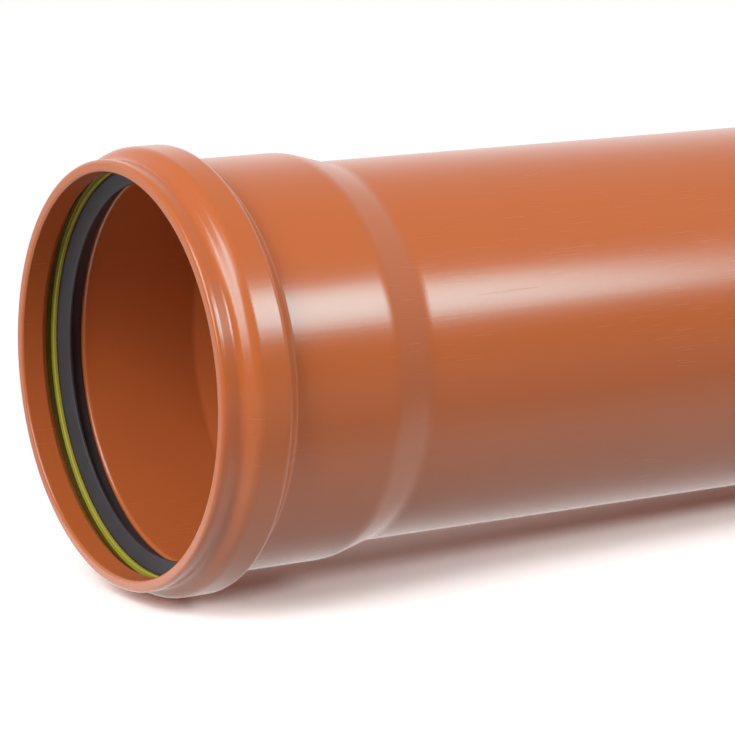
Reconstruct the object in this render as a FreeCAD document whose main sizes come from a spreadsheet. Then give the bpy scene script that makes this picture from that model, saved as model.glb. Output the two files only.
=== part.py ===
import FreeCAD, Part
import math
import os
import Sketcher

# Sewer pipe of hard PVC, 160 mm outside, with a socket for a rubber ring on one end.
# Lengths are in millimetres. Every x below runs along the pipe from the mouth of the socket;
# each body is then moved so that x = 0 of the row lies where the next pipe's end comes to rest.

DOC = FreeCAD.newDocument("sewer_pipe")

SIZES = [
    ("pipeDia", 160.0, "outside diameter of the barrel and spigot"),
    ("pipeWall", 4.7, "wall of the barrel"),
    ("usefulLength", 500.0, "socket seat to spigot end"),
    ("chamferLength", 9.0, "chamfer on the spigot, along the pipe"),
    ("chamferAngle", 15.0, "degrees, to the axis"),
    ("socketDepth", 82.0, "mouth to seat"),
    ("socketGap", 0.4, "radial play of a spigot in the socket"),
    ("socketWall", 4.8, "wall of the socket"),
    ("taperLength", 18.5, "socket down to barrel"),
    ("mouthGap", 3.0, "radial play of a spigot at the mouth"),
    ("lipWall", 5.0, "wall at the mouth"),
    ("lipLength", 3.0, "straight lip behind the mouth"),
    ("neckDip", 0.9, "neck below the lip, on radius"),
    ("neckLength", 9.2, "mouth to the bead's front slope"),
    ("beadFrontLength", 4.6, "bead's front slope, along the pipe"),
    ("crestLength", 14.4, "bead's crest, along the pipe"),
    ("beadBackLength", 6.6, "bead's back, along the pipe"),
    ("beadHeight", 7.1, "crest above the socket's outside"),
    ("grooveWall", 4.1, "wall of the bead over the groove"),
    ("grooveOffset", 0.8, "groove's front edge behind the neck"),
    ("grooveFrontLength", 7.0, "groove's front slope, along the pipe"),
    ("grooveFloorLength", 8.2, "groove's floor, along the pipe"),
    ("grooveBackLength", 2.9, "groove's back, along the pipe"),
    ("ringSeatLength", 2.4, "retaining ring's slanted seat on the groove, along the pipe"),
    ("ringLength", 4.6, "retaining ring, along the pipe"),
    ("ringInset", 1.3, "ring's bore outside the mouth's bore, on radius"),
    ("ringFrontWall", 0.7, "thickness of the ring's front edge"),
    ("ringGap", 0.15, "retaining ring clear of the groove's front slope"),
    ("sealGap", 0.1, "seal clear of the groove, and of a spigot's path, on radius"),
    ("sealStand", 0.6, "seal's front edge inside the ring's bore, on radius"),
    ("sealNoseLength", 3.2, "seal's front slope, along the pipe"),
    ("sealLipLength", 3.4, "pressed lip, along the pipe"),
    ("sealHeel", 0.6, "seal's back edge outside the socket's bore, on radius"),
    ("lipRound", 1.6, "rounding on the mouth's outer edge"),
    ("mouthRound", 1.2, "rounding on the mouth's inner edge"),
    ("neckRound", 4.0, "fillet between the neck and the bead"),
    ("beadRound", 6.0, "rounding of the bead's front edge"),
    ("crestRound", 3.0, "rounding on the crest's back edge"),
    ("footRound", 2.5, "fillet behind the bead"),
    ("grooveRound", 1.0, "rounding in the groove's corners"),
    ("edgeRound", 1.8, "rounding on the groove's rear edge"),
    ("taperRound", 20.0, "rounding at both ends of the taper, outside"),
]

sheet = DOC.addObject("Spreadsheet::Sheet", "Sizes")
for row, (alias, value, note) in enumerate(SIZES, start=1):
    sheet.set("A%d" % row, note)
    sheet.set("B%d" % row, str(value))
    sheet.setAlias("B%d" % row, alias)
DOC.recompute()


def worked_out(alias, formula):
    """Add a size that follows from the driving ones."""
    row = worked_out.row
    sheet.set("A%d" % row, "worked out")
    sheet.set("B%d" % row, "=" + formula)
    sheet.setAlias("B%d" % row, alias)
    worked_out.row += 1


worked_out.row = len(SIZES) + 2
worked_out("pipeRad", "pipeDia / 2")
worked_out("pipeBore", "pipeRad - pipeWall")
worked_out("socketBore", "pipeRad + socketGap")
worked_out("socketRad", "socketBore + socketWall")
worked_out("crestRad", "socketRad + beadHeight")
worked_out("mouthBore", "pipeRad + mouthGap")
worked_out("lipRad", "mouthBore + lipWall")
worked_out("neckRad", "lipRad - neckDip")
worked_out("grooveRad", "crestRad - grooveWall")
worked_out("taperSlope", "(socketBore - pipeBore) / taperLength")
worked_out("taperShift", "socketWall * tan(atan(taperSlope) / 2)")
worked_out("spigotEnd", "socketDepth + usefulLength")
worked_out("chamferDrop", "chamferLength * tan(chamferAngle * 1deg)")
worked_out("beadCrestStart", "neckLength + beadFrontLength")
worked_out("beadCrestEnd", "beadCrestStart + crestLength")
worked_out("beadFoot", "beadCrestEnd + beadBackLength")
worked_out("collarEnd", "neckLength + grooveOffset")
worked_out("grooveFloorStart", "collarEnd + grooveFrontLength")
worked_out("grooveFloorEnd", "grooveFloorStart + grooveFloorLength")
worked_out("grooveEnd", "grooveFloorEnd + grooveBackLength")
worked_out("grooveSlope", "(grooveRad - mouthBore) / grooveFrontLength")
worked_out("ringBore", "mouthBore + ringInset")
worked_out("ringFrontRad", "ringBore + ringFrontWall")
worked_out("ringStart", "collarEnd + (ringInset + ringFrontWall + ringGap) / grooveSlope")
worked_out("ringSeatEnd", "ringStart + ringSeatLength")
worked_out("ringBackRad", "ringFrontRad + ringSeatLength * grooveSlope")
worked_out("sealFront", "ringStart + ringLength")
worked_out("sealRad", "grooveRad - sealGap")
worked_out("sealInnerRad", "ringBore - sealStand")
worked_out("sealLipRad", "socketBore + sealGap")
worked_out("sealFloorStart", "grooveFloorStart + grooveRound / 2")
worked_out("sealFloorEnd", "grooveFloorEnd - grooveRound / 2")
worked_out("sealLipStart", "sealFront + sealNoseLength")
worked_out("sealLipEnd", "sealLipStart + sealLipLength")
worked_out("sealBackRad", "socketBore + sealHeel")
worked_out("grooveBackSlope", "(grooveRad - socketBore) / grooveBackLength")
worked_out("sealBack", "sealFloorEnd + (grooveRad - sealBackRad) / grooveBackSlope")
DOC.recompute()


def size(alias):
    return float(sheet.get(alias))


def add_body(name):
    """A body whose axis is X, moved so that the socket's seat is at the row's origin."""
    body = DOC.addObject("PartDesign::Body", name)
    body.Label = name
    body.setExpression("Placement.Base.x", "-Sizes.socketDepth")
    return body


def add_turned_outline(body, corners):
    """Sketch a closed outline of (x, radius) aliases in the body's XZ plane and turn it about X."""
    sketch = body.newObject("Sketcher::SketchObject", body.Name + "_outline")
    plane = [item for item in body.Origin.OriginFeatures if item.Role == "XZ_Plane"][0]
    sketch.AttachmentSupport = [(plane, "")]
    sketch.MapMode = "FlatFace"
    start = [FreeCAD.Vector(0 if x == "0" else size(x), size(r), 0) for x, r in corners]
    count = len(corners)
    for i in range(count):
        sketch.addGeometry(Part.LineSegment(start[i], start[(i + 1) % count]), False)
    for i in range(count):
        sketch.addConstraint(Sketcher.Constraint("Coincident", i, 2, (i + 1) % count, 1))
    for i, (x, radius) in enumerate(corners):
        if x == "0":
            sketch.addConstraint(Sketcher.Constraint("PointOnObject", i, 1, -2))
        else:
            at = sketch.addConstraint(Sketcher.Constraint("DistanceX", -1, 1, i, 1, start[i].x))
            sketch.setExpression("Constraints[%d]" % at, "Sizes." + x)
        at = sketch.addConstraint(Sketcher.Constraint("DistanceY", -1, 1, i, 1, start[i].y))
        sketch.setExpression("Constraints[%d]" % at, "Sizes." + radius)
    turned = body.newObject("PartDesign::Revolution", body.Name + "_turned")
    turned.Profile = sketch
    turned.ReferenceAxis = (sketch, ["H_Axis"])
    turned.Angle = 360
    DOC.recompute()
    return turned


def round_edges(body, base, radius, places):
    """Round the circular edges of base that lie at the given (x, radius) places."""
    names = []
    for number, edge in enumerate(base.Shape.Edges, start=1):
        if not isinstance(edge.Curve, Part.Circle):
            continue
        for x, at_radius in places:
            if abs(edge.Curve.Center.x - x) < 0.01 and abs(edge.Curve.Radius - at_radius) < 0.01:
                names.append("Edge%d" % number)
    if len(names) != len(places):
        raise RuntimeError("%s: %d edges found for %d places" % (radius, len(names), len(places)))
    fillet = body.newObject("PartDesign::Fillet", body.Name + "_" + radius)
    fillet.Base = (base, names)
    fillet.setExpression("Radius", "Sizes." + radius)
    body.Tip = fillet
    DOC.recompute()
    return fillet


def make_pipe():
    """Barrel and socket in one tube: the outside from mouth to spigot, then the inside back."""
    worked_out("taperTop", "socketDepth + taperShift")
    worked_out("taperFoot", "taperTop + (socketRad - pipeRad) / taperSlope")
    worked_out("innerFoot", "socketDepth + taperLength")
    worked_out("chamferStart", "spigotEnd - chamferLength")
    worked_out("chamferRad", "pipeRad - chamferDrop")
    DOC.recompute()
    body = add_body("pipe")
    turned = add_turned_outline(body, [
        ("0", "lipRad"),
        ("lipLength", "lipRad"),
        ("neckLength", "neckRad"),
        ("beadCrestStart", "crestRad"),
        ("beadCrestEnd", "crestRad"),
        ("beadFoot", "socketRad"),
        ("taperTop", "socketRad"),
        ("taperFoot", "pipeRad"),
        ("chamferStart", "pipeRad"),
        ("spigotEnd", "chamferRad"),
        ("spigotEnd", "pipeBore"),
        ("innerFoot", "pipeBore"),
        ("socketDepth", "socketBore"),
        ("grooveEnd", "socketBore"),
        ("grooveFloorEnd", "grooveRad"),
        ("grooveFloorStart", "grooveRad"),
        ("collarEnd", "mouthBore"),
        ("0", "mouthBore"),
    ])
    rounded = round_edges(body, turned, "lipRound", [(0, size("lipRad"))])
    rounded = round_edges(body, rounded, "mouthRound", [(0, size("mouthBore"))])
    rounded = round_edges(body, rounded, "neckRound", [(size("neckLength"), size("neckRad"))])
    rounded = round_edges(body, rounded, "beadRound", [(size("beadCrestStart"), size("crestRad"))])
    rounded = round_edges(body, rounded, "crestRound", [(size("beadCrestEnd"), size("crestRad"))])
    rounded = round_edges(body, rounded, "footRound", [(size("beadFoot"), size("socketRad"))])
    rounded = round_edges(body, rounded, "edgeRound", [(size("grooveEnd"), size("socketBore"))])
    rounded = round_edges(body, rounded, "grooveRound", [
        (size("collarEnd"), size("mouthBore")),
        (size("grooveFloorStart"), size("grooveRad")),
        (size("grooveFloorEnd"), size("grooveRad")),
    ])
    round_edges(body, rounded, "taperRound", [
        (size("taperTop"), size("socketRad")),
        (size("taperFoot"), size("pipeRad")),
    ])
    return body


def make_retaining_ring():
    """Thin hard ring that holds the seal's front edge against the groove's slope."""
    body = add_body("retaining_ring")
    add_turned_outline(body, [
        ("ringStart", "ringBore"),
        ("ringStart", "ringFrontRad"),
        ("ringSeatEnd", "ringBackRad"),
        ("sealFront", "ringBackRad"),
        ("sealFront", "ringBore"),
    ])
    return body


def make_seal_ring():
    """Rubber ring in the groove, its lip pressed back as it lies with a spigot pushed in."""
    body = add_body("seal_ring")
    add_turned_outline(body, [
        ("sealFront", "sealInnerRad"),
        ("sealFront", "ringBackRad"),
        ("sealFloorStart", "sealRad"),
        ("sealFloorEnd", "sealRad"),
        ("sealBack", "sealBackRad"),
        ("sealLipEnd", "sealLipRad"),
        ("sealLipStart", "sealLipRad"),
    ])
    return body


PARTS = [make_pipe(), make_retaining_ring(), make_seal_ring()]
DOC.recompute()

for item in DOC.Objects:
    if "Invalid" in item.State or "Error" in item.State:
        raise RuntimeError("%s did not build: %s" % (item.Name, item.State))
for body in PARTS:
    if body.Shape.isNull() or not body.Shape.isValid():
        raise RuntimeError("%s has no valid shape" % body.Label)

os.makedirs("parts", exist_ok=True)
for body in PARTS:
    body.Shape.exportStep(os.path.join("parts", body.Label + ".step"))
    # the plain bounding box overstates rounded surfaces, so the close one is printed
    box = body.Shape.optimalBoundingBox(False, False)
    print("%s: %.1f cm3, x %.2f to %.2f, diameter %.2f" % (
        body.Label, body.Shape.Volume / 1000, box.XMin, box.XMax, box.YLength))
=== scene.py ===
import math

import bmesh
import bpy
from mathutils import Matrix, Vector


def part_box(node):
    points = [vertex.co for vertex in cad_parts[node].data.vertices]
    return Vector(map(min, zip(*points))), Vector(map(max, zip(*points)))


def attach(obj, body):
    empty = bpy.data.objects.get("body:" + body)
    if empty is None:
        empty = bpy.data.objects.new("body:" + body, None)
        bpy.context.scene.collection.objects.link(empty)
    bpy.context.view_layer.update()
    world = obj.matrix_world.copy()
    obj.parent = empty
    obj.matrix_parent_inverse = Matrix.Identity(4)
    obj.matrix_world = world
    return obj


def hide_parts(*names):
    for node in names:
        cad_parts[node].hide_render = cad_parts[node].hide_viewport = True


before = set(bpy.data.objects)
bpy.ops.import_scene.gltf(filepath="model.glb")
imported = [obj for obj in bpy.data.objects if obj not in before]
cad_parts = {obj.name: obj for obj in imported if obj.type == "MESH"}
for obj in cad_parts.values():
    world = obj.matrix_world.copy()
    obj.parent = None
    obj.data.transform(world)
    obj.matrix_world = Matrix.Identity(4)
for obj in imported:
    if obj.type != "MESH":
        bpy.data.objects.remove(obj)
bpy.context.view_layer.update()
scene = bpy.context.scene
mm = 0.001
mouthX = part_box("pipe")[0].x
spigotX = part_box("pipe")[1].x
print("frame loaded: pipe from %.4f to %.4f m" % (mouthX, spigotX))


# shared helpers

def roundedOutline(corners, arcStep=9.0, leastSteps=3, guard=0.45, longest=24.0):
    # corners of a closed outline as (x, radius, rounding) in mm
    # each rounding becomes an arc with a point every arcStep degrees, and rounding 0 stays sharp
    count = len(corners)
    runs = []
    for i, (x, r, rounding) in enumerate(corners):
        here = Vector((x, r))
        back = Vector(corners[i - 1][:2]) - here
        ahead = Vector(corners[(i + 1) % count][:2]) - here
        back.normalize()
        ahead.normalize()
        inside = math.acos(max(-1.0, min(1.0, back.dot(ahead))))
        if rounding <= 0:
            runs.append([here])
            continue
        reach = rounding / math.tan(inside / 2)
        middle = here + (back + ahead).normalized() * (rounding / math.sin(inside / 2))
        first = here + back * reach - middle
        last = here + ahead * reach - middle
        turn = math.atan2(first.x * last.y - first.y * last.x, first.dot(last))
        steps = max(leastSteps, math.ceil(math.degrees(abs(turn)) / arcStep))
        arc = []
        for k in range(steps + 1):
            a = turn * k / steps
            arc.append(middle + Vector((first.x * math.cos(a) - first.y * math.sin(a),
                                        first.x * math.sin(a) + first.y * math.cos(a))))
        runs.append(arc)
    points = []
    for i, run in enumerate(runs):
        points.extend(run)
        start = run[-1]
        end = runs[(i + 1) % count][0]
        length = (end - start).length
        if length < 3 * guard:
            continue
        # guard points keep the shading of a flat run off its roundings
        pieces = max(1, math.ceil((length - 2 * guard) / longest))
        for k in range(pieces + 1):
            points.append(start.lerp(end, (guard + (length - 2 * guard) * k / pieces) / length))
    return points


def outlineMesh(name, points, originX):
    # the outline as a closed loop of edges: x along the pipe, z the radius
    mesh = bpy.data.meshes.new(name)
    count = len(points)
    verts = [(originX + p.x * mm, 0.0, p.y * mm) for p in points]
    mesh.from_pydata(verts, [(i, (i + 1) % count) for i in range(count)], [])
    return mesh


def addNode(tree, kind, where=(0, 0), **values):
    node = tree.nodes.new(kind)
    node.location = where
    for key, value in values.items():
        setattr(node, key, value)
    return node


def feed(tree, value, socket):
    # a number is set on the socket, and another node's output is linked to it
    if isinstance(value, (int, float)):
        socket.default_value = value
    else:
        tree.links.new(value, socket)


def mathNode(tree, operation, first, second=None, third=None):
    node = addNode(tree, "ShaderNodeMath", operation=operation)
    for slot, value in enumerate((first, second, third)):
        if value is not None:
            feed(tree, value, node.inputs[slot])
    return node.outputs[0]


def rangeNode(tree, value, low, high, first=0.0, last=1.0):
    # value going from low to high becomes first to last, smoothly
    node = addNode(tree, "ShaderNodeMapRange", interpolation_type="SMOOTHSTEP")
    tree.links.new(value, node.inputs["Value"])
    for label, number in (("From Min", low), ("From Max", high), ("To Min", first), ("To Max", last)):
        node.inputs[label].default_value = number
    return node.outputs["Result"]


def buildTurningTree():
    # a lathe: every point of the outline is carried round the X axis, then given a slight waviness
    tree = bpy.data.node_groups.new("turnAboutAxis", "GeometryNodeTree")
    face = tree.interface
    face.new_socket("Geometry", in_out="INPUT", socket_type="NodeSocketGeometry")
    settings = (("Sides", "NodeSocketInt", 192), ("Waviness", "NodeSocketFloat", 0.0),
                ("Waves Per Metre", "NodeSocketFloat", 14.0), ("Seed", "NodeSocketFloat", 1.0))
    for label, kind, value in settings:
        face.new_socket(label, in_out="INPUT", socket_type=kind).default_value = value
    face.new_socket("Material", in_out="INPUT", socket_type="NodeSocketMaterial")
    face.new_socket("Geometry", in_out="OUTPUT", socket_type="NodeSocketGeometry")
    link = tree.links.new
    given = addNode(tree, "NodeGroupInput", (-1200, 0))
    outline = given.outputs["Geometry"]
    points = addNode(tree, "GeometryNodeAttributeDomainSize", (-1000, 200), component="MESH")
    link(outline, points.inputs["Geometry"])
    around = mathNode(tree, "ADD", given.outputs["Sides"], 1)
    along = mathNode(tree, "ADD", points.outputs["Point Count"], 1)
    grid = addNode(tree, "GeometryNodeMeshGrid", (-700, 0))
    link(along, grid.inputs["Vertices X"])
    link(around, grid.inputs["Vertices Y"])
    index = addNode(tree, "GeometryNodeInputIndex", (-1000, -200)).outputs[0]
    # half an index is added so that the division never lands just under a whole number
    row = mathNode(tree, "FLOOR", mathNode(tree, "DIVIDE", mathNode(tree, "ADD", index, 0.5), around))
    column = mathNode(tree, "SUBTRACT", index, mathNode(tree, "MULTIPLY", row, around))
    step = mathNode(tree, "ROUND", mathNode(tree, "FLOORED_MODULO", row, points.outputs["Point Count"]))
    place = addNode(tree, "GeometryNodeInputPosition", (-900, -400)).outputs[0]
    sample = addNode(tree, "GeometryNodeSampleIndex", (-500, -300),
                     data_type="FLOAT_VECTOR", domain="POINT")
    link(outline, sample.inputs["Geometry"])
    link(place, sample.inputs["Value"])
    link(step, sample.inputs["Index"])
    spot = addNode(tree, "ShaderNodeSeparateXYZ", (-300, -300))
    link(sample.outputs[0], spot.inputs[0])
    turn = mathNode(tree, "MULTIPLY", column, 2 * math.pi)
    angle = mathNode(tree, "DIVIDE", turn, given.outputs["Sides"])
    turned = addNode(tree, "ShaderNodeCombineXYZ", (0, -300))
    link(spot.outputs["X"], turned.inputs["X"])
    link(mathNode(tree, "MULTIPLY", spot.outputs["Z"], mathNode(tree, "SINE", angle)), turned.inputs["Y"])
    link(mathNode(tree, "MULTIPLY", spot.outputs["Z"], mathNode(tree, "COSINE", angle)), turned.inputs["Z"])
    shaped = addNode(tree, "GeometryNodeSetPosition", (200, 0))
    link(grid.outputs["Mesh"], shaped.inputs["Geometry"])
    link(turned.outputs[0], shaped.inputs["Position"])
    closed = addNode(tree, "GeometryNodeMergeByDistance", (400, 0))
    closed.inputs["Distance"].default_value = 2e-6
    link(shaped.outputs[0], closed.inputs["Geometry"])
    # the waviness only takes material away, so no radius grows past its outline
    noise = addNode(tree, "ShaderNodeTexNoise", (200, -500), noise_dimensions="4D")
    noise.inputs["Detail"].default_value = 2.0
    link(given.outputs["Waves Per Metre"], noise.inputs["Scale"])
    link(given.outputs["Seed"], noise.inputs["W"])
    link(place, noise.inputs["Vector"])
    depth = mathNode(tree, "MULTIPLY", mathNode(tree, "MULTIPLY", noise.outputs[0], -1.0),
                     given.outputs["Waviness"])
    normal = addNode(tree, "GeometryNodeInputNormal", (200, -700)).outputs[0]
    offset = addNode(tree, "ShaderNodeVectorMath", (400, -500), operation="SCALE")
    link(normal, offset.inputs[0])
    link(depth, offset.inputs["Scale"])
    waved = addNode(tree, "GeometryNodeSetPosition", (600, 0))
    link(closed.outputs[0], waved.inputs["Geometry"])
    link(offset.outputs[0], waved.inputs["Offset"])
    real = addNode(tree, "GeometryNodeRealizeInstances", (800, 0))
    link(waved.outputs[0], real.inputs[0])
    finish = addNode(tree, "GeometryNodeSetMaterial", (1000, 0))
    link(real.outputs[0], finish.inputs["Geometry"])
    link(given.outputs["Material"], finish.inputs["Material"])
    out = addNode(tree, "NodeGroupOutput", (1200, 0))
    link(finish.outputs[0], out.inputs[0])
    return tree


turningTree = buildTurningTree()


def setInput(modifier, label, value):
    for item in modifier.node_group.interface.items_tree:
        if item.item_type == "SOCKET" and item.in_out == "INPUT" and item.name == label:
            modifier[item.identifier] = value


def turnPiece(name, corners, spec, material):
    source = bpy.data.objects.new(name + "Outline", outlineMesh(name, roundedOutline(corners), mouthX))
    scene.collection.objects.link(source)
    lathe = source.modifiers.new("lathe", "NODES")
    lathe.node_group = turningTree
    setInput(lathe, "Sides", spec["sides"])
    setInput(lathe, "Waviness", spec["waviness"] * mm)
    setInput(lathe, "Waves Per Metre", spec["wavesPerMetre"])
    setInput(lathe, "Seed", spec["seed"])
    setInput(lathe, "Material", material)
    bpy.context.view_layer.update()
    solid = source.evaluated_get(bpy.context.evaluated_depsgraph_get())
    mesh = bpy.data.meshes.new_from_object(solid)
    bpy.data.objects.remove(source)
    shell = bmesh.new()
    shell.from_mesh(mesh)
    bmesh.ops.recalc_face_normals(shell, faces=shell.faces)
    if shell.calc_volume(signed=True) < 0:
        bmesh.ops.reverse_faces(shell, faces=shell.faces)
    for face in shell.faces:
        face.smooth = True
    openEdges = sum(1 for edge in shell.edges if not edge.is_manifold)
    shell.to_mesh(mesh)
    shell.free()
    mesh.name = name
    piece = bpy.data.objects.new(name, mesh)
    scene.collection.objects.link(piece)
    print("%s: %d faces, %d open edges" % (name, len(mesh.polygons), openEdges))
    return piece


# materials

def newGroup(name, inputs, outputs):
    group = bpy.data.node_groups.new(name, "ShaderNodeTree")
    for label, value in inputs:
        socket = group.interface.new_socket(label, in_out="INPUT", socket_type="NodeSocketFloat")
        socket.default_value = value
    for label in outputs:
        group.interface.new_socket(label, in_out="OUTPUT", socket_type="NodeSocketFloat")
    return group, addNode(group, "NodeGroupInput", (-900, 0)), addNode(group, "NodeGroupOutput", (900, 0))


def objectPlace(tree):
    return addNode(tree, "ShaderNodeTexCoord").outputs["Object"]


def placeParts(tree):
    # the x, y and z of a point on the piece
    parts = addNode(tree, "ShaderNodeSeparateXYZ")
    tree.links.new(objectPlace(tree), parts.inputs[0])
    return parts.outputs


def addNoise(tree, place, scale, detail):
    noise = addNode(tree, "ShaderNodeTexNoise")
    noise.inputs["Detail"].default_value = detail
    tree.links.new(place, noise.inputs["Vector"])
    feed(tree, scale, noise.inputs["Scale"])
    return noise.outputs[0]


def noiseAround(tree, count, stretch, detail):
    # streaks along the pipe, count of them round it; on a circle a noise has no seam
    place = placeParts(tree)
    angle = mathNode(tree, "ARCTAN2", place["Y"], place["Z"])
    spin = addNode(tree, "ShaderNodeCombineXYZ")
    tree.links.new(mathNode(tree, "COSINE", angle), spin.inputs["X"])
    tree.links.new(mathNode(tree, "SINE", angle), spin.inputs["Y"])
    tree.links.new(mathNode(tree, "MULTIPLY", place["X"], stretch), spin.inputs["Z"])
    return addNoise(tree, spin.outputs[0], mathNode(tree, "DIVIDE", count, 2 * math.pi), detail)


def buildGrainGroup():
    # fine skin of moulded or drawn plastic: an even grain and faint lines along the drawing direction
    group, given, out = newGroup("plasticSkin", [("Grain Per Metre", 1400.0), ("Grain Strength", 0.5),
                                                 ("Lines Around", 260.0), ("Line Strength", 0.5),
                                                 ("Stretch", 0.35)], ["Height"])
    grain = addNoise(group, objectPlace(group), given.outputs["Grain Per Metre"], 3.0)
    lines = noiseAround(group, given.outputs["Lines Around"], given.outputs["Stretch"], 2.0)
    height = mathNode(group, "ADD",
                      mathNode(group, "MULTIPLY", lines, given.outputs["Line Strength"]),
                      mathNode(group, "MULTIPLY", grain, given.outputs["Grain Strength"]))
    group.links.new(height, out.inputs["Height"])
    return group


def buildScuffGroup(scuffRange=(0.70, 0.80), patchRange=(0.48, 0.66)):
    # handling marks: sparse short scuffs along the pipe, gathered in patches
    # each range is where its noise goes from no mark to a full one
    group, given, out = newGroup("handlingMarks", [("Patches Per Metre", 9.0), ("Scuffs Around", 900.0),
                                                   ("Stretch", 0.36), ("Amount", 0.5)], ["Mask"])
    patches = addNoise(group, objectPlace(group), given.outputs["Patches Per Metre"], 3.0)
    scuffs = noiseAround(group, given.outputs["Scuffs Around"], given.outputs["Stretch"], 0.0)
    both = mathNode(group, "MULTIPLY", rangeNode(group, scuffs, *scuffRange),
                    rangeNode(group, patches, *patchRange))
    group.links.new(mathNode(group, "MULTIPLY", both, given.outputs["Amount"]), out.inputs["Mask"])
    return group


plasticSkin = buildGrainGroup()
handlingMarks = buildScuffGroup()
print("shader groups ready")


def newMaterial(name):
    material = bpy.data.materials.new(name)
    material.use_nodes = True
    tree = material.node_tree
    shader = tree.nodes["Principled BSDF"]
    return material, tree, shader


def useGroup(tree, group, values):
    node = addNode(tree, "ShaderNodeGroup")
    node.node_tree = group
    for label, value in values.items():
        node.inputs[label].default_value = value
    return node


def mixColour(tree, factor, first, second):
    # a Mix node's two colours are its inputs 6 and 7, and the mixed one is its output 2
    mix = addNode(tree, "ShaderNodeMix", data_type="RGBA")
    for slot, value in ((6, first), (7, second)):
        if isinstance(value, tuple):
            mix.inputs[slot].default_value = (*value, 1.0)
        else:
            tree.links.new(value, mix.inputs[slot])
    feed(tree, factor, mix.inputs[0])
    return mix.outputs[2]


def addSkin(tree, shader, spec):
    # the plastic skin as a fine bump, its depth in metres
    skin = useGroup(tree, plasticSkin, {"Grain Per Metre": spec["grainPerMetre"],
                                        "Grain Strength": spec["grainStrength"],
                                        "Lines Around": spec["linesAround"],
                                        "Line Strength": spec["lineStrength"]})
    bump = addNode(tree, "ShaderNodeBump")
    bump.inputs["Strength"].default_value = 1.0
    bump.inputs["Distance"].default_value = spec["bump"]
    tree.links.new(skin.outputs["Height"], bump.inputs["Height"])
    tree.links.new(bump.outputs[0], shader.inputs["Normal"])


pipeFinish = {
    "colour": (0.53, 0.134, 0.037),
    "colourDeep": (0.49, 0.119, 0.031),
    "cloudsPerMetre": 7.0,
    "cloudDetail": 4.0,
    "roughness": 0.245,
    "roughnessSpread": 0.08,
    "mirrorLevel": 0.56,
    "mirrorTint": (0.55, 0.95, 1.0),
    "scuffs": 0.16,
    "scuffColour": (0.66, 0.30, 0.18),
    "scuffTint": 0.35,
    "scuffRoughness": 0.3,
    "grainPerMetre": 900.0,
    "grainStrength": 0.5,
    "linesAround": 420.0,
    "lineStrength": 0.6,
    "bump": 0.00003,
}


def makePipePlastic(spec):
    material, tree, shader = newMaterial("pipePlastic")
    cloud = addNoise(tree, objectPlace(tree), spec["cloudsPerMetre"], spec["cloudDetail"])
    marks = useGroup(tree, handlingMarks, {"Amount": spec["scuffs"]}).outputs["Mask"]
    tone = mixColour(tree, cloud, spec["colourDeep"], spec["colour"])
    tone = mixColour(tree, mathNode(tree, "MULTIPLY", marks, spec["scuffTint"]), tone, spec["scuffColour"])
    tree.links.new(tone, shader.inputs["Base Color"])
    rough = mathNode(tree, "MULTIPLY_ADD", cloud, spec["roughnessSpread"],
                     spec["roughness"] - spec["roughnessSpread"] / 2)
    rough = mathNode(tree, "MULTIPLY_ADD", marks, spec["scuffRoughness"], rough)
    tree.links.new(rough, shader.inputs["Roughness"])
    shader.inputs["Specular IOR Level"].default_value = spec["mirrorLevel"]
    shader.inputs["Specular Tint"].default_value = (*spec["mirrorTint"], 1.0)
    addSkin(tree, shader, spec)
    return material


rubberFinish = {
    "colour": (0.022, 0.021, 0.024),
    "bloom": (0.075, 0.064, 0.078),
    "bloomAmount": 0.5,
    "dustPerMetre": 55.0,
    "dustDetail": 6.0,
    "roughness": 0.42,
    "roughnessSpread": 0.2,
    "grainPerMetre": 2200.0,
    "grainStrength": 0.8,
    "linesAround": 60.0,
    "lineStrength": 0.2,
    "bump": 0.00004,
}


def makeSealRubber(spec):
    material, tree, shader = newMaterial("sealRubber")
    dust = addNoise(tree, objectPlace(tree), spec["dustPerMetre"], spec["dustDetail"])
    bloom = mathNode(tree, "MULTIPLY", dust, spec["bloomAmount"])
    tree.links.new(mixColour(tree, bloom, spec["colour"], spec["bloom"]), shader.inputs["Base Color"])
    rough = mathNode(tree, "MULTIPLY_ADD", dust, spec["roughnessSpread"], spec["roughness"])
    tree.links.new(rough, shader.inputs["Roughness"])
    addSkin(tree, shader, spec)
    return material


ringFinish = {
    "colour": (0.43, 0.39, 0.04),
    "colourDeep": (0.36, 0.32, 0.03),
    # painted shade: the flange's dark colour stands in for the shadow the collar casts on it
    "flangeShadeColour": (0.085, 0.060, 0.006),
    "colourEdge": 0.3,
    "cloudsPerMetre": 40.0,
    "cloudDetail": 2.0,
    "roughness": 0.38,
    "roughnessSpread": 0.12,
    "grainPerMetre": 1500.0,
    "grainStrength": 0.7,
    "linesAround": 90.0,
    "lineStrength": 0.3,
    "bump": 0.00003,
}


def makeRingPlastic(spec, ribStart):
    # the thin flange is given a dark colour, a painted shade for the collar's shadow on it, and changes to
    # the rib's colour over colourEdge, in mm
    material, tree, shader = newMaterial("ringPlastic")
    cloud = addNoise(tree, objectPlace(tree), spec["cloudsPerMetre"], spec["cloudDetail"])
    ribX = mouthX + ribStart * mm
    rib = rangeNode(tree, placeParts(tree)["X"], ribX - spec["colourEdge"] * mm, ribX)
    tone = mixColour(tree, cloud, spec["colourDeep"], spec["colour"])
    # painted shade on the flange, up to the rib
    tree.links.new(mixColour(tree, rib, spec["flangeShadeColour"], tone), shader.inputs["Base Color"])
    rough = mathNode(tree, "MULTIPLY_ADD", cloud, spec["roughnessSpread"], spec["roughness"])
    tree.links.new(rough, shader.inputs["Roughness"])
    addSkin(tree, shader, spec)
    return material


# the tube: barrel and socket in one
# every piece is given in mm: places along the pipe from the socket's mouth, and radii

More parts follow.
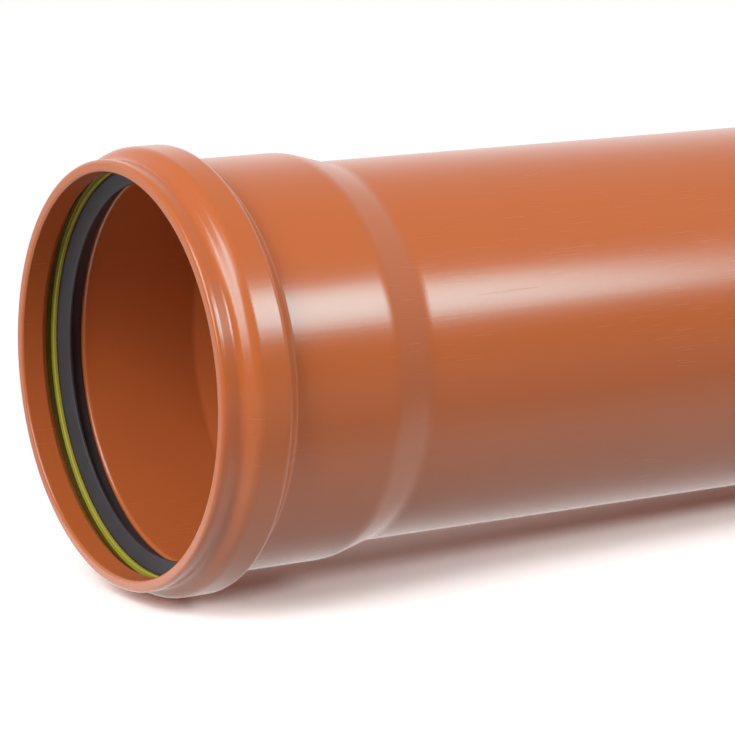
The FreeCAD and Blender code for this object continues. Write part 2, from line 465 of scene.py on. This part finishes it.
tube = {
    "pipeRadius": 80.0, "pipeBore": 75.3,
    "socketDepth": 82.0, "socketBore": 80.4, "socketRadius": 85.2,
    "mouthBore": 83.0, "lipRadius": 88.0, "lipLength": 3.0, "neckRadius": 87.1, "neckLength": 9.2,
    "crestStart": 13.8, "crestEnd": 28.2, "crestRadius": 92.3, "beadFoot": 34.8,
    "collarEnd": 10.0, "floorStart": 17.0, "floorEnd": 25.2, "grooveEnd": 28.1, "grooveRadius": 88.2,
    "taperLength": 18.5, "chamferLength": 9.0, "chamferAngle": 15.0,
    "lipFrontRound": 1.6, "lipBackRound": 3.0, "neckRound": 4.0,
    "crestFrontRound": 6.0, "crestBackRound": 3.0, "beadFootRound": 2.5, "taperRound": 20.0,
    "chamferRound": 0.5, "cutEdgeRound": 0.25, "boreRound": 12.0, "seatRound": 8.0,
    "grooveEndRound": 1.8, "grooveFloorRound": 1.0, "collarRound": 1.0, "mouthRound": 1.2,
    "sides": 224, "waviness": 0.03, "wavesPerMetre": 16.0, "seed": 3.0,
}


def makeTube(t):
    length = (spigotX - mouthX) / mm
    # the taper's outside runs parallel to its bore, so its corners lie a little further along
    slope = (t["socketBore"] - t["pipeBore"]) / t["taperLength"]
    shift = (t["socketRadius"] - t["socketBore"]) * math.tan(math.atan(slope) / 2)
    taperTop = t["socketDepth"] + shift
    taperFoot = taperTop + (t["socketRadius"] - t["pipeRadius"]) / slope
    chamferDrop = t["chamferLength"] * math.tan(math.radians(t["chamferAngle"]))
    corners = [
        (0, t["lipRadius"], t["lipFrontRound"]),
        (t["lipLength"], t["lipRadius"], t["lipBackRound"]),
        (t["neckLength"], t["neckRadius"], t["neckRound"]),
        (t["crestStart"], t["crestRadius"], t["crestFrontRound"]),
        (t["crestEnd"], t["crestRadius"], t["crestBackRound"]),
        (t["beadFoot"], t["socketRadius"], t["beadFootRound"]),
        (taperTop, t["socketRadius"], t["taperRound"]),
        (taperFoot, t["pipeRadius"], t["taperRound"]),
        (length - t["chamferLength"], t["pipeRadius"], t["chamferRound"]),
        (length, t["pipeRadius"] - chamferDrop, t["cutEdgeRound"]),
        (length, t["pipeBore"], t["cutEdgeRound"]),
        (t["socketDepth"] + t["taperLength"], t["pipeBore"], t["boreRound"]),
        (t["socketDepth"], t["socketBore"], t["seatRound"]),
        (t["grooveEnd"], t["socketBore"], t["grooveEndRound"]),
        (t["floorEnd"], t["grooveRadius"], t["grooveFloorRound"]),
        (t["floorStart"], t["grooveRadius"], t["grooveFloorRound"]),
        (t["collarEnd"], t["mouthBore"], t["collarRound"]),
        (0, t["mouthBore"], t["mouthRound"]),
    ]
    piece = turnPiece("pipe_tube", corners, t, makePipePlastic(pipeFinish))
    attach(piece, "root")
    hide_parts("pipe")


makeTube(tube)


# the seal, its lip relaxed and standing into the socket

seal = {
    "front": 17.5, "frontRadius": 83.6, "kneeRadius": 86.8,
    "floorStart": 17.6, "floorEnd": 24.7, "floorRadius": 88.1,
    "tipFront": 19.9, "tipBack": 20.9, "tipRadius": 77.7, "tipSlant": 0.1,
    "rootX": 22.6, "heelX": 27.3, "heelRadius": 81.1,
    "edgeRound": 0.3, "softRound": 0.4, "rootRound": 1.0,
    "sides": 224, "waviness": 0.05, "wavesPerMetre": 22.0, "seed": 5.0,
}


def makeSeal(s):
    corners = [
        (s["front"], s["kneeRadius"], 0.0),
        (s["floorStart"], s["floorRadius"], s["edgeRound"]),
        (s["floorEnd"], s["floorRadius"], s["softRound"]),
        (s["heelX"], s["heelRadius"], s["softRound"]),
        (s["rootX"], s["heelRadius"], s["rootRound"]),
        (s["tipBack"], s["tipRadius"], s["edgeRound"]),
        (s["tipFront"], s["tipRadius"] + s["tipSlant"], s["softRound"]),
        (s["front"], s["frontRadius"], s["edgeRound"]),
    ]
    piece = turnPiece("seal_lip_ring", corners, s, makeSealRubber(rubberFinish))
    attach(piece, "root")
    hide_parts("seal_ring")


makeSeal(seal)


# the ring that holds the seal: a thin flange behind the lip, ending in a raised rib

ring = {
    "start": 12.9, "seatEnd": 15.3, "ribStart": 15.7, "end": 17.45,
    "frontRadius": 85.0, "backRadius": 86.78, "bore": 84.3, "flange": 0.5,
    "edgeRound": 0.2, "ribRound": 0.4, "flangeRound": 0.1,
    "sides": 224, "waviness": 0.04, "wavesPerMetre": 18.0, "seed": 8.0,
}


def makeRing(s):
    corners = [
        (s["start"], s["frontRadius"], s["edgeRound"]),
        (s["seatEnd"], s["backRadius"], s["edgeRound"]),
        (s["end"], s["backRadius"], s["edgeRound"]),
        (s["end"], s["bore"], s["ribRound"]),
        (s["ribStart"], s["bore"], s["ribRound"]),
        (s["ribStart"], s["backRadius"] - s["flange"], s["flangeRound"]),
        (s["seatEnd"], s["backRadius"] - s["flange"], s["edgeRound"]),
        (s["start"], s["frontRadius"] - s["flange"], s["flangeRound"]),
    ]
    piece = turnPiece("seal_clip_ring", corners, s, makeRingPlastic(ringFinish, s["ribStart"]))
    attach(piece, "root")
    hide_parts("retaining_ring")


makeRing(ring)
print("pieces built")


# floor, lights, camera

def direction(azimuth, elevation):
    # from the pipe towards a lamp or the camera, in degrees; azimuth 0 is the -Y side
    a, e = math.radians(azimuth), math.radians(elevation)
    return Vector((math.sin(a) * math.cos(e), -math.cos(a) * math.cos(e), math.sin(e)))


# metres; the camera sees the floor turn white between whiteFrom and whiteBy from the pipe
stage = {
    "floorSize": 14.0, "floorGap": 0.0002,
    "floorBounce": 0.35, "floorWhite": 1.2, "floorRoughness": 0.7,
    "whiteFrom": 0.10, "whiteBy": 0.22, "endMargin": 0.05,
    "glossyWhite": 0.45, "behindFrom": -0.09, "behindBy": 0.0,
}


def makeFloorMaterial(s):
    material, tree, shader = newMaterial("paleFloor")
    path = addNode(tree, "ShaderNodeLightPath").outputs
    glossy = path["Is Glossy Ray"]
    seen = mathNode(tree, "MAXIMUM", path["Is Camera Ray"], glossy)
    seen = mathNode(tree, "MAXIMUM", seen, path["Is Transmission Ray"])
    place = placeParts(tree)
    # how far a point is from the pipe: sideways, or past either end
    middle = (mouthX + spigotX) / 2
    fromMiddle = mathNode(tree, "ABSOLUTE", mathNode(tree, "SUBTRACT", place["X"], middle))
    pastEnd = mathNode(tree, "SUBTRACT", fromMiddle, (spigotX - mouthX) / 2)
    sideways = mathNode(tree, "ABSOLUTE", place["Y"])
    away = mathNode(tree, "MAXIMUM", sideways, mathNode(tree, "ADD", pastEnd, s["endMargin"]))
    white = mathNode(tree, "MULTIPLY", rangeNode(tree, away, s["whiteFrom"], s["whiteBy"]), seen)
    tone = mixColour(tree, seen, (s["floorBounce"],) * 3, (s["floorWhite"],) * 3)
    tree.links.new(mixColour(tree, white, tone, (0.0, 0.0, 0.0)), shader.inputs["Base Color"])
    # reflections see a dimmer floor in front of the pipe and a white one behind it
    behind = rangeNode(tree, place["Y"], s["behindFrom"], s["behindBy"])
    level = mathNode(tree, "MULTIPLY_ADD", behind, 1.0 - s["glossyWhite"], s["glossyWhite"])
    mirrored = mathNode(tree, "MULTIPLY", mathNode(tree, "MAXIMUM", white, behind), level)
    direct = mathNode(tree, "SUBTRACT", 1.0, glossy)
    glow = mathNode(tree, "ADD", mathNode(tree, "MULTIPLY", mirrored, glossy),
                    mathNode(tree, "MULTIPLY", white, direct))
    tree.links.new(glow, shader.inputs["Emission Strength"])
    shader.inputs["Emission Color"].default_value = (1.0, 1.0, 1.0, 1.0)
    shader.inputs["Roughness"].default_value = s["floorRoughness"]
    shader.inputs["Specular IOR Level"].default_value = 0.0
    return material


def makeFloor(s):
    # the pipe lies on its bead and on the barrel's far end, with the floor just under both
    restX = mouthX + tube["crestEnd"] * mm
    farX = spigotX - tube["chamferLength"] * mm
    rise = (tube["crestRadius"] - tube["pipeRadius"]) * mm / (farX - restX)
    half = s["floorSize"] / 2
    corners = []
    for x, y in ((-half, -half), (half, -half), (half, half), (-half, half)):
        corners.append((x, y, -tube["crestRadius"] * mm + (x - restX) * rise - s["floorGap"]))
    mesh = bpy.data.meshes.new("floor")
    mesh.from_pydata(corners, [], [(0, 1, 2, 3)])
    mesh.materials.append(makeFloorMaterial(s))
    floor = bpy.data.objects.new("floor", mesh)
    scene.collection.objects.link(floor)


sky = {
    "front": 0.05, "back": 1.2, "backAzimuth": 150.0, "backFrom": -0.4, "backBy": 0.6,
    "top": 0.33, "topFrom": 0.25, "topBy": 0.95,
}


def makeWorld(s):
    # a white tent: dark in front, bright behind the pipe and fainter overhead, plain white to the camera
    world = bpy.data.worlds.new("studio")
    world.use_nodes = True
    tree = world.node_tree
    back = tree.nodes["Background"]
    camera = addNode(tree, "ShaderNodeLightPath").outputs["Is Camera Ray"]
    toward = addNode(tree, "ShaderNodeTexCoord").outputs["Generated"]
    facing = addNode(tree, "ShaderNodeVectorMath", operation="DOT_PRODUCT")
    tree.links.new(toward, facing.inputs[0])
    facing.inputs[1].default_value = direction(s["backAzimuth"], 0.0)
    parts = addNode(tree, "ShaderNodeSeparateXYZ")
    tree.links.new(toward, parts.inputs[0])
    side = rangeNode(tree, facing.outputs["Value"], s["backFrom"], s["backBy"], s["front"], s["back"])
    lift = rangeNode(tree, parts.outputs["Z"], s["topFrom"], s["topBy"])
    tent = mathNode(tree, "ADD", mathNode(tree, "MULTIPLY", side, mathNode(tree, "SUBTRACT", 1.0, lift)),
                    mathNode(tree, "MULTIPLY", lift, s["top"]))
    level = mathNode(tree, "MULTIPLY_ADD", tent, mathNode(tree, "SUBTRACT", 1.0, camera), camera)
    tree.links.new(level, back.inputs["Strength"])
    back.inputs["Color"].default_value = (1.0, 1.0, 1.0, 1.0)
    scene.world = world


# degrees and metres from the origin, at which each lamp is aimed
softboxes = {
    "sideSoftbox": {"azimuth": 35.0, "elevation": 31.0, "distance": 2.2,
                    "width": 0.60, "height": 0.66, "radiance": 15.5},
    "tallStrip": {"azimuth": -38.0, "elevation": 60.0, "distance": 2.2,
                  "width": 0.5, "height": 0.9, "radiance": 2.6},
    "leftSoftbox": {"azimuth": -71.0, "elevation": 34.0, "distance": 2.4,
                    "width": 1.15, "height": 1.9, "radiance": 8.5},
}


def addSoftbox(name, s):
    light = bpy.data.lights.new(name, "AREA")
    light.shape = "RECTANGLE"
    light.size = s["width"]
    light.size_y = s["height"]
    light.energy = s["radiance"] * math.pi * s["width"] * s["height"]
    lamp = bpy.data.objects.new(name, light)
    lamp.location = direction(s["azimuth"], s["elevation"]) * s["distance"]
    lamp.rotation_euler = (-lamp.location).to_track_quat("-Z", "Y").to_euler()
    scene.collection.objects.link(lamp)


view = {
    "azimuth": -32.23, "elevation": 10.86, "distance": 1.5009,
    "target": (0.0389, 0.0, -0.0084), "fieldOfView": 11.82,
}


def makeCamera(v):
    lens = bpy.data.cameras.new("camera")
    lens.sensor_width = 36.0
    lens.angle = math.radians(v["fieldOfView"])
    camera = bpy.data.objects.new("camera", lens)
    target = Vector(v["target"])
    camera.location = target + direction(v["azimuth"], v["elevation"]) * v["distance"]
    camera.rotation_euler = (target - camera.location).to_track_quat("-Z", "Y").to_euler()
    scene.collection.objects.link(camera)
    scene.camera = camera


makeFloor(stage)
makeWorld(sky)
for softboxName, softbox in softboxes.items():
    addSoftbox(softboxName, softbox)
makeCamera(view)
scene.view_settings.view_transform = "Standard"
print("stage, lights and camera ready")
